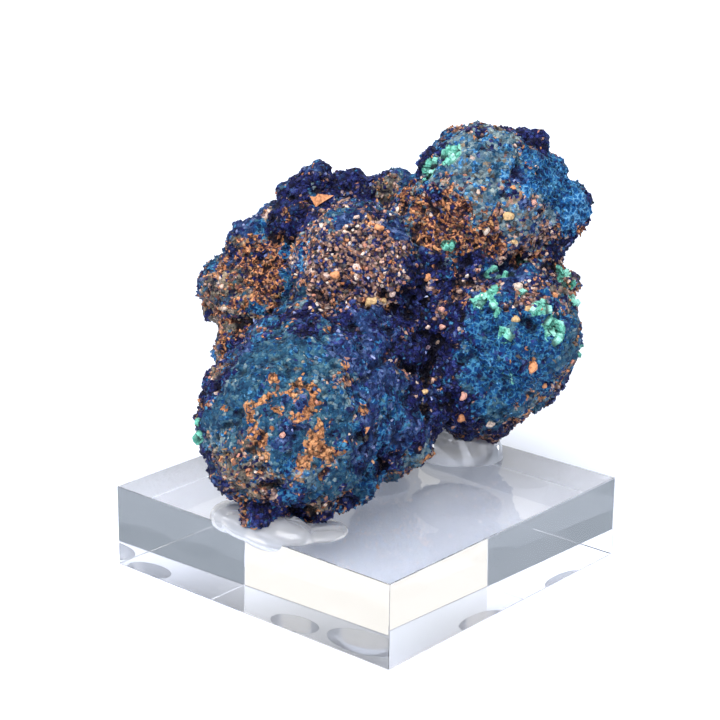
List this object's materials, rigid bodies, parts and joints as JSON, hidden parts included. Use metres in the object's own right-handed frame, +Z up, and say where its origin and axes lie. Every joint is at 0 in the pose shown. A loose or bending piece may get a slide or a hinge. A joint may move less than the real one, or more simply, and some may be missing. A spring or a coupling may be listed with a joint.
{
  "type": "azurite specimen on acrylic block",
  "caption": "Lumpy blue azurite specimen with rusty crust and green malachite, glued on a clear square acrylic display block.",
  "frame": {"origin": "centre of the acrylic block's underside, the face it stands on", "axes": "+Z up, X and Y along the block's sides, -Y towards the side that the specimen's largest lump leans over"},
  "size_m": [0.0557, 0.063, 0.0621],
  "materials": {
    "azurite": "rough drusy azurite crystals, deep indigo to azure, with rusty and pale crusts and mint green malachite",
    "clear_acrylic": "clear cast acrylic with polished faces, IOR 1.49",
    "clear_glue": "milky clear glue, glossy, IOR 1.48"
  },
  "bodies": {
    "root": {"azurite_specimen": "azurite", "acrylic_block": "clear_acrylic", "glue_front": "clear_glue", "glue_right": "clear_glue", "glue_back_left": "clear_glue"}
  },
  "joints": []
}
